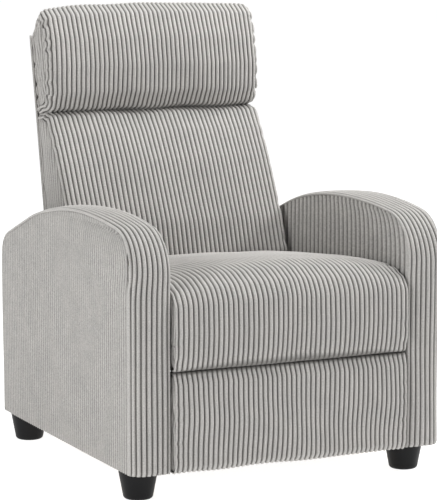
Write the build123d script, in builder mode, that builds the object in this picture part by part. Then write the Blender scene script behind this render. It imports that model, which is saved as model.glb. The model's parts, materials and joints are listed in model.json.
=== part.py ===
from build123d import *
import os
from math import cos, radians, sin

# A push-back recliner armchair with a fold-out footrest, in millimetres.
# +Z is up, the chair faces -Y and +X is the sitter's left.
# The origin is on the floor, under the middle of the chair's outline.
# Side profiles are drawn in the YZ plane, so their points read (Y, Z).

os.makedirs("parts", exist_ok=True)

SIDES = {"right": -1, "left": 1}

# ---- overall sizes
ARM_OUTER = 345.0  # half of the overall width
ARM_INNER = 262.5  # half of the room between the arms
ARM_BOTTOM = 60.0
ARM_FRONT = -382.0
ARM_REAR = 334.0
PANEL_HALF = 257.5  # half width of the seat cushion and the footrest
BACK_HALF = 254.0  # half width of the backrest
FRONT_FACE = -393.5  # foremost point of the seat's rounded nose
CREASE_Z = 261.0  # where the seat's nose meets the footrest
FOOTREST_BOTTOM = 58.0
FOOTREST_TOP = 256.5
SEAT_BASE_Z = 304.0  # underside of the seat cushion

# ---- upholstery and timber
COVER_WALL = 10.0  # foam and fabric on the sides of the arms
COVER_TOP = 22.0  # foam and fabric over their edges
BOARD = 12.0
CORNER_R = 28.0  # upright outer corners of the arms, in plan
FOOT_X = 300.0
FOOT_FRONT_Y = -301.5
FOOT_REAR_Y = 289.5
FOOT_TOP_R = 39.0
FOOT_BOTTOM_R = 26.0
RAIL_Z = 262.0  # underside of the seat's timber rails
RAIL_TOP = 300.0
SIDE_RAIL_IN = 197.0
SIDE_RAIL_OUT = 225.0
SEAT_RAIL_FRONT = -348.0
SEAT_RAIL_REAR = 116.0
RAIL_THICK = 26.0

# ---- steel linkage: every plate lies in its own layer, given by its inner face
STEEL = 3.0
LAYER_LOWER = 229.0
LAYER_LINK = 234.0
LAYER_DRIVE = 239.0
LAYER_SEAT = 244.0
LAYER_LIFT = 249.0
LAYER_BASE = 254.0
PIN_R = 4.0
HOLE_R = 4.05  # running fit round a pin
FIXED_R = 4.0  # hole that a pin is riveted into
HEAD_R = 7.0
HEAD = 1.5  # thickness of a rivet head
PLAY = 0.2  # side play under a rivet head
LINK_R = 10.0  # half width of a link bar

# ---- recline: parallel lift links between the base rails and the seat plates
LIFT_LENGTH = 70.0
LIFT_ANGLE = 55.0  # from +Y, so the links lean backwards at rest
LIFT_PIVOTS = {"front": (-60.0, 112.0), "rear": (130.0, 112.0)}

# ---- footrest: a parallelogram of crank and front links carries the lower link,
# and the bell crank's short arm turns the footrest through the drive link
CRANK_PIVOT = (-100.0, 240.0)
SWING_LENGTH = 165.0
SWING_ANGLE = -55.0
FOOTREST_PIVOT = (-262.0, 165.0)
FRONT_SHARE = 0.25  # the front link joins the lower link this far along it
CRANK = 38.0
CRANK_ANGLE = 38.41
BRACKET_ARM = 62.0
BRACKET_ANGLE = 26.3
OPEN_PIVOT_PLAY = 1.0  # the drive link's last pivot is a loose hole

# ---- backrest: its frame leans back from the hinge
BACK_HINGE = (170.0, 300.0)
BACK_LEAN = 11.2
FRAME_FRONT = 72.0  # distances behind the hinge, square to the lean
FRAME_REAR = 98.0
PANEL_REAR = 106.0
BACK_BOTTOM = 25.0  # heights above the hinge, along the lean
HEAD_CREASE = 430.0
POST_TOP = 575.0
POST_IN = 211.0


def polar(start, length, angle):
    """Point at a length and an angle (degrees) from another point of the YZ plane."""
    return (start[0] + length * cos(radians(angle)), start[1] + length * sin(radians(angle)))


def along(start, end, part):
    """Point at a fraction of the way between two points, which may lie beyond either."""
    return (start[0] + part * (end[0] - start[0]), start[1] + part * (end[1] - start[1]))


def side_plane(side, inner, thickness=STEEL):
    """YZ plane from which extrude(+thickness) fills a layer on one side of the chair."""
    return Plane.YZ.offset(inner if side > 0 else -inner - thickness)


def lean_plane(x):
    """Backrest plane: its x runs backwards and its y up the lean, from the hinge."""
    lean = radians(BACK_LEAN)
    return Plane(origin=(x, *BACK_HINGE), x_dir=(0, cos(lean), -sin(lean)), z_dir=(1, 0, 0))


def lean_side(side, inner, thickness):
    """Backrest plane from which extrude(+thickness) fills a layer on one side."""
    return lean_plane(inner if side > 0 else -inner - thickness)


def save(piece, name):
    """Label a finished piece and write its STEP file."""
    piece.part.label = name
    export_step(piece.part, f"parts/{name}.step")


def bar(side, inner, ends, holes):
    """Flat steel link whose outline is the hull of a round end at each pivot."""
    with BuildPart() as link:
        with BuildSketch(side_plane(side, inner)):
            with Locations(*ends):
                Circle(LINK_R)
            make_hull()
            for spot, radius in holes:
                with Locations(spot):
                    Circle(radius, mode=Mode.SUBTRACT)
        extrude(amount=STEEL)
    return link


def disc(spot, x_from, x_to, radius):
    """Cylinder along X between two distances from the middle, once on each side."""
    for side in SIDES.values():
        with BuildSketch(Plane.YZ.offset(side * x_from)) as face:
            with Locations(spot):
                Circle(radius)
        extrude(face.sketch, amount=side * (x_to - x_from))


def outward_rivet(spot, inner, outer):
    """Rivet held in the layer at inner, which carries the plate in the layer at outer."""
    disc(spot, inner - HEAD, inner, HEAD_R)
    disc(spot, inner, outer + STEEL + PLAY, PIN_R)
    disc(spot, outer + STEEL + PLAY, outer + STEEL + HEAD, HEAD_R)


def inward_rivet(spot, outer, inner, spacer=0.0):
    """Rivet held in the layer at outer, which carries the plate in the layer at inner.

    A spacer, where there is one, keeps the two plates apart across an empty layer.
    """
    disc(spot, outer + STEEL, outer + STEEL + HEAD, HEAD_R)
    disc(spot, inner - PLAY, outer + STEEL, PIN_R)
    disc(spot, inner - HEAD, inner - PLAY, HEAD_R)
    if spacer:
        disc(spot, inner + STEEL + PLAY, outer, spacer)


# ---- places that follow from the driving dimensions
LIFT_TOPS = {end: polar(spot, LIFT_LENGTH, LIFT_ANGLE) for end, spot in LIFT_PIVOTS.items()}
CRANK_FOOT = polar(CRANK_PIVOT, SWING_LENGTH, SWING_ANGLE)
FRONT_FOOT = along(CRANK_FOOT, FOOTREST_PIVOT, FRONT_SHARE)
FRONT_PIVOT = polar(FRONT_FOOT, SWING_LENGTH, SWING_ANGLE + 180)
CRANK_PIN = polar(CRANK_FOOT, CRANK, CRANK_ANGLE)
BRACKET_PIN = polar(FOOTREST_PIVOT, BRACKET_ARM, BRACKET_ANGLE)

# ======================================================================
# Arms and base
# ======================================================================
STRETCHER_Y = {"front": -265.0, "rear": 260.0}
STRETCHER_HALF = 30.0
STRETCHER_Z = (62.0, 86.0)
CROSS_BOLT_OFFSET = -15.0
CROSS_BOLT_Z = 74.0
RAIL_BOLT_OFFSET = 12.0
RAIL_BOLT_X = 241.0
BOLT_HEAD_R = 6.5
BOLT_HEAD = 5.0
TAB_BOLT_HEAD = 2.0  # low, so that the drive links pass over it
TAB_BOLT_LENGTH = 25.0
CROSS_BOLT_END = 215.0
CROSS_HOLE_END = 213.0
BOLT_HOLE = 4.1
COUNTERBORE_R = 8.0
COUNTERBORE = 8.0
BOTTOM_RAIL = (284.5, 323.0)
BOTTOM_RAIL_TOP = 100.0
STUD_IN_RAIL = 36.0


def arm_outline(inset=0.0):
    """Side profile of an arm: upright front, big rounded top, long slope to the rear.

    An inset draws the same outline that much further in, on the same underside.
    """
    low, most = 0.4 * inset, 0.9 * inset
    front_top = (-304 + low, 541 - most)
    crown_end = (60 - low, 537 - most)
    slope_start = (190 - low, 500 - most)
    slope_end = (292 - low, 463 - most)
    with BuildLine() as outline:
        Line((ARM_REAR - 2 - inset, ARM_BOTTOM), (ARM_FRONT + inset, ARM_BOTTOM))
        Line((ARM_FRONT + inset, ARM_BOTTOM), (ARM_FRONT + inset, 425))
        ThreePointArc((ARM_FRONT + inset, 425), (-363 + 0.8 * inset, 506 - 0.6 * inset), front_top)
        ThreePointArc(front_top, (-120, 554 - inset), crown_end)
        ThreePointArc(crown_end, (134 - low, 520 - most), slope_start)
        Line(slope_start, slope_end)
        ThreePointArc(slope_end, (327 - 0.8 * inset, 441 - most), (ARM_REAR + 4 - inset, 400))
        Line((ARM_REAR + 4 - inset, 400), (ARM_REAR - 2 - inset, ARM_BOTTOM))
    return outline.line


def cross_bolt_holes(side):
    """Holes along X for the bolts that hold the stretchers between the arms."""
    with BuildSketch(Plane.YZ.offset(side * 200)) as holes:
        with Locations(*[(y + CROSS_BOLT_OFFSET, CROSS_BOLT_Z) for y in STRETCHER_Y.values()]):
            Circle(BOLT_HOLE)
    extrude(holes.sketch, amount=side * 125, mode=Mode.SUBTRACT)


for word, side in SIDES.items():
    with BuildPart() as arm_cover:
        with BuildSketch(side_plane(side, ARM_INNER, ARM_OUTER - ARM_INNER)):
            add(arm_outline())
            make_face()
        extrude(amount=ARM_OUTER - ARM_INNER)
        with BuildSketch(Plane.XY) as plan:
            with Locations((side * (ARM_INNER + ARM_OUTER) / 2, 0)):
                Rectangle(ARM_OUTER - ARM_INNER, 800)
            with Locations((0, ARM_FRONT - 50)):
                Rectangle(800, 100, mode=Mode.SUBTRACT)
            with Locations((0, ARM_REAR + 55)):
                Rectangle(800, 100, mode=Mode.SUBTRACT)
            outer_corners = plan.vertices().group_by(Axis.X)[-1 if side > 0 else 0]
            fillet(outer_corners, CORNER_R)
        extrude(amount=600, mode=Mode.INTERSECT)
        core_width = ARM_OUTER - ARM_INNER - 2 * COVER_WALL
        with BuildSketch(side_plane(side, ARM_INNER + COVER_WALL, core_width)):
            add(arm_outline(COVER_TOP))
            make_face()
        extrude(amount=core_width, mode=Mode.SUBTRACT)
        cross_bolt_holes(side)
    save(arm_cover, f"{word}_arm_cover")

    boards = {
        "inner": ARM_INNER + COVER_WALL,
        "outer": ARM_OUTER - COVER_WALL - BOARD,
    }
    for place, inner in boards.items():
        with BuildPart() as arm_board:
            with BuildSketch(side_plane(side, inner, BOARD)):
                add(arm_outline(COVER_TOP))
                make_face()
            extrude(amount=BOARD)
            if place == "inner":
                cross_bolt_holes(side)
        save(arm_board, f"{word}_arm_{place}_board")

    with BuildPart() as arm_rail:
        width = BOTTOM_RAIL[1] - BOTTOM_RAIL[0]
        with BuildSketch(side_plane(side, BOTTOM_RAIL[0], width)):
            with Locations((ARM_FRONT + COVER_TOP, ARM_BOTTOM)):
                Rectangle(
                    ARM_REAR - ARM_FRONT - 2 * COVER_TOP - 2, BOTTOM_RAIL_TOP - ARM_BOTTOM,
                    align=(Align.MIN, Align.MIN),
                )
        extrude(amount=width)
        cross_bolt_holes(side)
        for y in STRETCHER_Y.values():
            with BuildSketch(Plane.YZ.offset(side * BOTTOM_RAIL[1])):
                with Locations((y + CROSS_BOLT_OFFSET, CROSS_BOLT_Z)):
                    Circle(COUNTERBORE_R)
            extrude(amount=-side * COUNTERBORE, mode=Mode.SUBTRACT)
        with BuildSketch(Plane.XY.offset(ARM_BOTTOM)):
            with Locations((side * FOOT_X, FOOT_FRONT_Y), (side * FOOT_X, FOOT_REAR_Y)):
                Circle(BOLT_HOLE)
        extrude(amount=STUD_IN_RAIL, mode=Mode.SUBTRACT)
    save(arm_rail, f"{word}_arm_bottom_rail")

# Tapered feet with a rounded lower edge, screwed on by a stud each
FEET = {"front": FOOT_FRONT_Y, "rear": FOOT_REAR_Y}
FOOT_COLLAR_Z = 54.0
STUD_R = 4.0
STUD_IN_FOOT = 40.0
for end, foot_y in FEET.items():
    for word, side in SIDES.items():
        with BuildPart() as foot:
            with BuildSketch(Plane.XZ.offset(-foot_y)):
                with BuildLine():
                    Line((side * FOOT_X, 0), (side * FOOT_X, ARM_BOTTOM))
                    Line((side * FOOT_X, ARM_BOTTOM), (side * FOOT_X + FOOT_TOP_R, ARM_BOTTOM))
                    Line(
                        (side * FOOT_X + FOOT_TOP_R, ARM_BOTTOM),
                        (side * FOOT_X + FOOT_TOP_R, FOOT_COLLAR_Z),
                    )
                    Line(
                        (side * FOOT_X + FOOT_TOP_R, FOOT_COLLAR_Z), (side * FOOT_X + FOOT_BOTTOM_R + 4, 6),
                    )
                    ThreePointArc(
                        (side * FOOT_X + FOOT_BOTTOM_R + 4, 6),
                        (side * FOOT_X + FOOT_BOTTOM_R + 1.5, 1.6),
                        (side * FOOT_X + FOOT_BOTTOM_R - 3, 0),
                    )
                    Line((side * FOOT_X + FOOT_BOTTOM_R - 3, 0), (side * FOOT_X, 0))
                make_face()
            revolve(axis=Axis((side * FOOT_X, foot_y, 0), (0, 0, 1)))
            with BuildSketch(Plane.XY.offset(ARM_BOTTOM)):
                with Locations((side * FOOT_X, foot_y)):
                    Circle(BOLT_HOLE)
            extrude(amount=-STUD_IN_FOOT, mode=Mode.SUBTRACT)
        save(foot, f"{end}_{word}_foot")

with BuildPart() as foot_studs:
    with BuildSketch(Plane.XY.offset(ARM_BOTTOM - STUD_IN_FOOT)):
        with Locations(*[(s * FOOT_X, y) for s in SIDES.values() for y in FEET.values()]):
            Circle(STUD_R)
    extrude(amount=STUD_IN_FOOT + STUD_IN_RAIL)
save(foot_studs, "foot_studs")

# Timber stretchers between the arms
for end, middle in STRETCHER_Y.items():
    with BuildPart() as stretcher:
        with BuildSketch(Plane.XY.offset(STRETCHER_Z[0])):
            with Locations((0, middle)):
                Rectangle(2 * ARM_INNER, 2 * STRETCHER_HALF)
            with Locations(*[(s * RAIL_BOLT_X, middle + RAIL_BOLT_OFFSET) for s in (-1, 1)]):
                Circle(BOLT_HOLE, mode=Mode.SUBTRACT)
        extrude(amount=STRETCHER_Z[1] - STRETCHER_Z[0])
        for side in SIDES.values():
            with BuildSketch(Plane.YZ.offset(side * CROSS_HOLE_END)):
                with Locations((middle + CROSS_BOLT_OFFSET, CROSS_BOLT_Z)):
                    Circle(BOLT_HOLE)
            extrude(amount=side * (ARM_INNER - CROSS_HOLE_END), mode=Mode.SUBTRACT)
    save(stretcher, f"{end}_stretcher")

# Bolts along X through the arms, and down through the tabs of the base rails
with BuildPart() as frame_bolts:
    for y in STRETCHER_Y.values():
        spot = (y + CROSS_BOLT_OFFSET, CROSS_BOLT_Z)
        disc(spot, CROSS_BOLT_END, BOTTOM_RAIL[1] - COUNTERBORE, PIN_R)
        disc(spot, BOTTOM_RAIL[1] - COUNTERBORE, BOTTOM_RAIL[1] - COUNTERBORE + BOLT_HEAD, BOLT_HEAD_R)
        for side in SIDES.values():
            top = Plane.XY.offset(STRETCHER_Z[1] + STEEL)
            with BuildSketch(top):
                with Locations((side * RAIL_BOLT_X, y + RAIL_BOLT_OFFSET)):
                    Circle(BOLT_HEAD_R)
            extrude(amount=TAB_BOLT_HEAD)
            with BuildSketch(top):
                with Locations((side * RAIL_BOLT_X, y + RAIL_BOLT_OFFSET)):
                    Circle(PIN_R)
            extrude(amount=-TAB_BOLT_LENGTH)
save(frame_bolts, "frame_bolts")

# Steel base rails: an upright flange with a tab onto each stretcher
TAB_IN = 228.0
for word, side in SIDES.items():
    with BuildPart() as base_rail:
        with BuildSketch(side_plane(side, LAYER_BASE)):
            with BuildLine():
                Polyline(
                    (-290, STRETCHER_Z[1]), (290, STRETCHER_Z[1]), (290, 104), (240, 128),
                    (-240, 128), (-290, 104), close=True,
                )
            make_face()
            with Locations(*LIFT_PIVOTS.values()):
                Circle(FIXED_R, mode=Mode.SUBTRACT)
        extrude(amount=STEEL)
        with BuildSketch(Plane.XY.offset(STRETCHER_Z[1])):
            for y in STRETCHER_Y.values():
                with Locations((side * (TAB_IN + LAYER_BASE) / 2, y)):
                    Rectangle(LAYER_BASE - TAB_IN, 50)
                with Locations((side * RAIL_BOLT_X, y + RAIL_BOLT_OFFSET)):
                    Circle(BOLT_HOLE, mode=Mode.SUBTRACT)
        extrude(amount=STEEL)
    save(base_rail, f"{word}_base_rail")

with BuildPart() as base_rivets:
    for spot in LIFT_PIVOTS.values():
        inward_rivet(spot, LAYER_BASE, LAYER_LIFT)
save(base_rivets, "base_rivets")

# ======================================================================
# Recline: lift links and the seat
# ======================================================================
for end in LIFT_PIVOTS:
    ends = (LIFT_PIVOTS[end], LIFT_TOPS[end])
    for word, side in SIDES.items():
        lift_link = bar(side, LAYER_LIFT, ends, [(spot, HOLE_R) for spot in ends])
        save(lift_link, f"{end}_{word}_lift_link")

FLANGE_FRONT = -300.0
FLANGE_REAR = 100.0
for word, side in SIDES.items():
    with BuildPart() as seat_plate:
        with BuildSketch(side_plane(side, LAYER_SEAT)):
            with Locations(CRANK_PIVOT, FRONT_PIVOT, *LIFT_TOPS.values(), BACK_HINGE):
                Circle(14)
            with Locations((FLANGE_FRONT + 10, RAIL_TOP - 7), (FLANGE_REAR, RAIL_TOP - 7)):
                Circle(10)
            make_hull()
            with BuildLine():
                Polyline(
                    (-400, RAIL_TOP + STEEL), (130, RAIL_TOP + STEEL), (130, 340), (-400, 340),
                    close=True,
                )
            make_face(mode=Mode.SUBTRACT)
            with Locations(CRANK_PIVOT, FRONT_PIVOT, *LIFT_TOPS.values(), BACK_HINGE):
                Circle(FIXED_R, mode=Mode.SUBTRACT)
        extrude(amount=STEEL)
        with BuildSketch(Plane.XY.offset(RAIL_TOP)):
            with Locations((side * (SIDE_RAIL_IN + LAYER_SEAT) / 2, (FLANGE_FRONT + FLANGE_REAR) / 2)):
                Rectangle(LAYER_SEAT - SIDE_RAIL_IN, FLANGE_REAR - FLANGE_FRONT)
        extrude(amount=STEEL)
    save(seat_plate, f"{word}_seat_plate")

    with BuildPart() as seat_side_rail:
        with BuildSketch(side_plane(side, SIDE_RAIL_IN, SIDE_RAIL_OUT - SIDE_RAIL_IN)):
            with Locations((SEAT_RAIL_FRONT + RAIL_THICK, RAIL_Z)):
                Rectangle(
                    SEAT_RAIL_REAR - SEAT_RAIL_FRONT - 2 * RAIL_THICK, RAIL_TOP - RAIL_Z,
                    align=(Align.MIN, Align.MIN),
                )
        extrude(amount=SIDE_RAIL_OUT - SIDE_RAIL_IN)
    save(seat_side_rail, f"{word}_seat_rail")

SEAT_CROSS_RAILS = {
    "seat_front_rail": SEAT_RAIL_FRONT + RAIL_THICK / 2,
    "seat_rear_rail": SEAT_RAIL_REAR - RAIL_THICK / 2,
}
for name, y in SEAT_CROSS_RAILS.items():
    with BuildPart() as cross_rail:
        with BuildSketch(Plane.XY.offset(RAIL_Z)):
            with Locations((0, y)):
                Rectangle(2 * SIDE_RAIL_OUT, RAIL_THICK)
        extrude(amount=RAIL_TOP - RAIL_Z)
    save(cross_rail, name)

with BuildPart() as seat_rivets:
    for spot in LIFT_TOPS.values():
        outward_rivet(spot, LAYER_SEAT, LAYER_LIFT)
    inward_rivet(CRANK_PIVOT, LAYER_SEAT, LAYER_LINK, spacer=6)
    inward_rivet(FRONT_PIVOT, LAYER_SEAT, LAYER_LINK, spacer=6)
    inward_rivet(BACK_HINGE, LAYER_SEAT, LAYER_DRIVE)
save(seat_rivets, "seat_rivets")

# Sinuous springs: a wire that snakes between the front and rear rails
WIRE_R = 1.9
SPRING_HALF = 22.0
SPRING_STEP = 22.0
SPRING_X = (-150.0, -75.0, 0.0, 75.0, 150.0)


def snake(start, length, across):
    """Points of a zigzag along the second axis of its plane, one turn a step."""
    turns = int(length // SPRING_STEP)
    step = length / turns
    points = [(across, start)]
    for index in range(turns):
        shift = SPRING_HALF if index % 2 == 0 else -SPRING_HALF
        points += [(across + shift, start + (index + 0.15) * step)]
        points += [(across + shift, start + (index + 0.85) * step)]
    return points + [(across, start + length)]


def snake_spring(plane, start, length, across):
    """One sinuous spring, swept along a rounded zigzag on a plane."""
    with BuildLine(plane) as path:
        FilletPolyline(*snake(start, length, across), radius=5)
    with BuildSketch(Plane(origin=path.line @ 0, z_dir=path.line % 0)) as wire:
        Circle(WIRE_R)
    sweep(wire.sketch, path=path.line)


with BuildPart() as seat_springs:
    for x in SPRING_X:
        spring_length = SEAT_RAIL_REAR - SEAT_RAIL_FRONT - RAIL_THICK
        snake_spring(
            Plane.XY.offset(RAIL_TOP + WIRE_R), SEAT_RAIL_FRONT + RAIL_THICK / 2, spring_length, x,
        )
save(seat_springs, "seat_springs")

SEAT_REAR = 112.0
SEAT_TOP = 438.0
NOSE_BACK = -352.0
with BuildPart() as seat_cushion:
    with BuildSketch(Plane.YZ.offset(-PANEL_HALF)):
        with BuildLine():
            Polyline(
                (SEAT_REAR, 404), (SEAT_REAR, SEAT_BASE_Z), (NOSE_BACK, SEAT_BASE_Z),
                (NOSE_BACK, CREASE_Z), (FRONT_FACE + 6, CREASE_Z),
            )
            Spline((FRONT_FACE + 6, CREASE_Z), (FRONT_FACE, 330), (-383, 408), (-330, SEAT_TOP),
                   tangents=((-0.3, 1), (1, 0.15)))
            Spline((-330, SEAT_TOP), (-150, 441), (SEAT_REAR, 404), tangents=((1, 0.15), (1, -0.3)))
        make_face()
    extrude(amount=2 * PANEL_HALF)
save(seat_cushion, "seat_cushion")

# ======================================================================
# Footrest linkage
# ======================================================================
TUBE_R = 8.0
TUBE_SPOT = along(CRANK_PIVOT, CRANK_FOOT, 0.42)
FOOTREST_BOARD = (-349.0, -333.0)
FOOTREST_PAD_FRONT = -391.0
BRACKET_BACK = FOOTREST_BOARD[1]
FLANGE_WIDTH = 25.0
FLANGE_BOTTOM = 132.0
FLANGE_TOP = 226.0
FLANGE_CORNER = 8.0

for word, side in SIDES.items():
    crank_link = bar(
        side, LAYER_LINK, (CRANK_PIVOT, CRANK_FOOT, CRANK_PIN),
        [(CRANK_PIVOT, HOLE_R), (CRANK_FOOT, HOLE_R), (CRANK_PIN, HOLE_R)],
    )
    save(crank_link, f"{word}_crank_link")
    front_link = bar(
        side, LAYER_LINK, (FRONT_PIVOT, FRONT_FOOT), [(FRONT_PIVOT, HOLE_R), (FRONT_FOOT, HOLE_R)],
    )
    save(front_link, f"{word}_front_link")
    lower_link = bar(
        side, LAYER_LOWER, (CRANK_FOOT, FOOTREST_PIVOT),
        [(CRANK_FOOT, FIXED_R), (FRONT_FOOT, FIXED_R), (FOOTREST_PIVOT, FIXED_R)],
    )
    save(lower_link, f"{word}_lower_link")
    drive_link = bar(
        side, LAYER_DRIVE, (CRANK_PIN, BRACKET_PIN), [(CRANK_PIN, FIXED_R), (BRACKET_PIN, FIXED_R)],
    )
    save(drive_link, f"{word}_drive_link")

    # The footrest bracket: a plate with a flange screwed to the back of the board
    with BuildPart() as bracket:
        with BuildSketch(side_plane(side, LAYER_LINK)):
            with Locations(FOOTREST_PIVOT, BRACKET_PIN):
                Circle(LINK_R)
            corner_y = BRACKET_BACK + FLANGE_CORNER
            with Locations((corner_y, FLANGE_TOP), (corner_y, FLANGE_BOTTOM)):
                Circle(FLANGE_CORNER)
            make_hull()
            with Locations(FOOTREST_PIVOT):
                Circle(HOLE_R, mode=Mode.SUBTRACT)
            with Locations(BRACKET_PIN):
                Circle(PIN_R + OPEN_PIVOT_PLAY, mode=Mode.SUBTRACT)
        extrude(amount=STEEL)
        with BuildSketch(Plane.XZ.offset(-BRACKET_BACK)):
            middle_z = (FLANGE_BOTTOM + FLANGE_TOP) / 2
            with Locations((side * (LAYER_LINK - FLANGE_WIDTH / 2), middle_z)):
                Rectangle(FLANGE_WIDTH, FLANGE_TOP - FLANGE_BOTTOM)
        extrude(amount=-STEEL)
    save(bracket, f"{word}_footrest_bracket")

with BuildPart() as cross_tube:
    with BuildSketch(Plane.YZ.offset(-LAYER_LINK)):
        with Locations(TUBE_SPOT):
            Circle(TUBE_R)
            Circle(TUBE_R - 1.5, mode=Mode.SUBTRACT)
    extrude(amount=2 * LAYER_LINK)
save(cross_tube, "footrest_cross_tube")

with BuildPart() as lower_link_rivets:
    for spot in (CRANK_FOOT, FRONT_FOOT, FOOTREST_PIVOT):
        outward_rivet(spot, LAYER_LOWER, LAYER_LINK)
save(lower_link_rivets, "lower_link_rivets")

with BuildPart() as drive_link_rivets:
    inward_rivet(CRANK_PIN, LAYER_DRIVE, LAYER_LINK)
    inward_rivet(BRACKET_PIN, LAYER_DRIVE, LAYER_LINK)
save(drive_link_rivets, "drive_link_rivets")

with BuildPart() as footrest_board:
    with BuildSketch(Plane.XZ.offset(-FOOTREST_BOARD[1])):
        with Locations((0, (FOOTREST_BOTTOM + FOOTREST_TOP) / 2)):
            Rectangle(490, FOOTREST_TOP - FOOTREST_BOTTOM - 16)
    extrude(amount=FOOTREST_BOARD[1] - FOOTREST_BOARD[0])
save(footrest_board, "footrest_board")

with BuildPart() as footrest_pad:
    with BuildSketch(Plane.YZ.offset(-PANEL_HALF)):
        with Locations((FOOTREST_PAD_FRONT, FOOTREST_BOTTOM)):
            Rectangle(
                FOOTREST_BOARD[0] - FOOTREST_PAD_FRONT, FOOTREST_TOP - FOOTREST_BOTTOM,
                align=(Align.MIN, Align.MIN),
            )
    extrude(amount=2 * PANEL_HALF)
    fillet(footrest_pad.faces().sort_by(Axis.Y)[0].edges(), 10)
save(footrest_pad, "footrest_pad")

# ======================================================================
# Backrest
# ======================================================================
POST_BOTTOM = -20.0
POST_BOLTS = [((FRAME_FRONT + FRAME_REAR) / 2, height) for height in (40.0, 110.0)]
POST_BOLT_LENGTH = 20.0
CROSS_RAIL_HEIGHT = 60.0

for word, side in SIDES.items():
    with BuildPart() as post:
        with BuildSketch(lean_side(side, POST_IN, LAYER_DRIVE - POST_IN)):
            with Locations((FRAME_FRONT, POST_BOTTOM)):
                Rectangle(
                    FRAME_REAR - FRAME_FRONT, POST_TOP - POST_BOTTOM, align=(Align.MIN, Align.MIN),
                )
        extrude(amount=LAYER_DRIVE - POST_IN)
        with BuildSketch(lean_side(side, LAYER_DRIVE - POST_BOLT_LENGTH, POST_BOLT_LENGTH)):
            with Locations(*POST_BOLTS):
                Circle(BOLT_HOLE)
        extrude(amount=POST_BOLT_LENGTH, mode=Mode.SUBTRACT)
    save(post, f"{word}_back_post")

    with BuildPart() as back_bracket:
        with BuildSketch(lean_side(side, LAYER_DRIVE, STEEL)):
            Circle(14)
            with Locations((FRAME_FRONT + 13, 0)):
                Circle(12)
            make_hull()
            with Locations((FRAME_FRONT + 1, 0)):
                Rectangle(24, 130, align=(Align.MIN, Align.MIN))
            Circle(HOLE_R, mode=Mode.SUBTRACT)
            with Locations(*POST_BOLTS):
                Circle(BOLT_HOLE, mode=Mode.SUBTRACT)
        extrude(amount=STEEL)
    save(back_bracket, f"{word}_back_bracket")

with BuildPart() as back_bracket_bolts:
    for side in SIDES.values():
        head = lean_plane(side * (LAYER_DRIVE + STEEL))
        for radius, amount in ((PIN_R, -POST_BOLT_LENGTH), (HEAD_R, HEAD)):
            with BuildSketch(head):
                with Locations(*POST_BOLTS):
                    Circle(radius)
            extrude(amount=side * amount)
save(back_bracket_bolts, "back_bracket_bolts")

BACK_CROSS_RAILS = {
    "back_bottom_rail": POST_BOTTOM,
    "back_top_rail": POST_TOP - CROSS_RAIL_HEIGHT,
}
for name, low in BACK_CROSS_RAILS.items():
    with BuildPart() as cross_rail:
        with BuildSketch(lean_plane(-POST_IN)):
            with Locations((FRAME_FRONT, low)):
                Rectangle(
                    FRAME_REAR - FRAME_FRONT, CROSS_RAIL_HEIGHT, align=(Align.MIN, Align.MIN),
                )
        extrude(amount=2 * POST_IN)
    save(cross_rail, name)

SPRING_DEPTH = FRAME_FRONT - WIRE_R
with BuildPart() as back_springs:
    lean = radians(BACK_LEAN)
    spring_origin = (
        0, BACK_HINGE[0] + SPRING_DEPTH * cos(lean), BACK_HINGE[1] - SPRING_DEPTH * sin(lean),
    )
    spring_plane = Plane(origin=spring_origin, x_dir=(1, 0, 0), z_dir=(0, -cos(lean), sin(lean)))
    for x in SPRING_X:
        snake_spring(spring_plane, 10, POST_TOP - 50, x)
save(back_springs, "back_springs")

CUSHION_REAR = FRAME_FRONT - 2 * WIRE_R - 0.5
with BuildPart() as back_cushion:
    with BuildSketch(lean_plane(-BACK_HALF)):
        with BuildLine():
            Polyline(
                (32, HEAD_CREASE - 2), (CUSHION_REAR, HEAD_CREASE - 2), (CUSHION_REAR, BACK_BOTTOM),
                (-46, BACK_BOTTOM), (-66, 92),
            )
            Spline((-66, 92), (-40, 220), (4, 360), (32, HEAD_CREASE - 2))
        make_face()
    extrude(amount=2 * BACK_HALF)
save(back_cushion, "back_cushion")

HEAD_TOP = 661.0
with BuildPart() as head_cushion:
    with BuildSketch(lean_plane(-BACK_HALF)):
        with BuildLine():
            Line((CUSHION_REAR, HEAD_CREASE + 2), (34, HEAD_CREASE + 2))
            Spline(
                (34, HEAD_CREASE + 2), (15, 470), (3, 545), (14, 632), (46, HEAD_TOP), (104, 622),
                tangents=((-1, 0.6), (0.2, -1)),
            )
            Polyline((104, 622), (104, POST_TOP + 22), (CUSHION_REAR, POST_TOP + 22),
                     (CUSHION_REAR, HEAD_CREASE + 2))
        make_face()
    extrude(amount=2 * BACK_HALF)
save(head_cushion, "head_cushion")

# Side gussets close the sides of the backrest beside the posts
GUSSET = 9.0
for word, side in SIDES.items():
    with BuildPart() as gusset:
        with BuildSketch(lean_side(side, BACK_HALF - GUSSET, GUSSET)):
            with BuildLine():
                Polyline(
                    (FRAME_FRONT - 2, 26), (FRAME_REAR, 26), (FRAME_REAR, POST_TOP + 20),
                    (FRAME_FRONT - 2, POST_TOP + 20), close=True,
                )
            make_face()
        extrude(amount=GUSSET)
    save(gusset, f"{word}_back_gusset")

with BuildPart() as back_panel:
    with BuildSketch(lean_plane(-BACK_HALF)):
        with Locations((FRAME_REAR, -42)):
            Rectangle(PANEL_REAR - FRAME_REAR, POST_TOP + 62, align=(Align.MIN, Align.MIN))
    extrude(amount=2 * BACK_HALF)
save(back_panel, "back_panel")
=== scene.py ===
import json
import math

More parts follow.
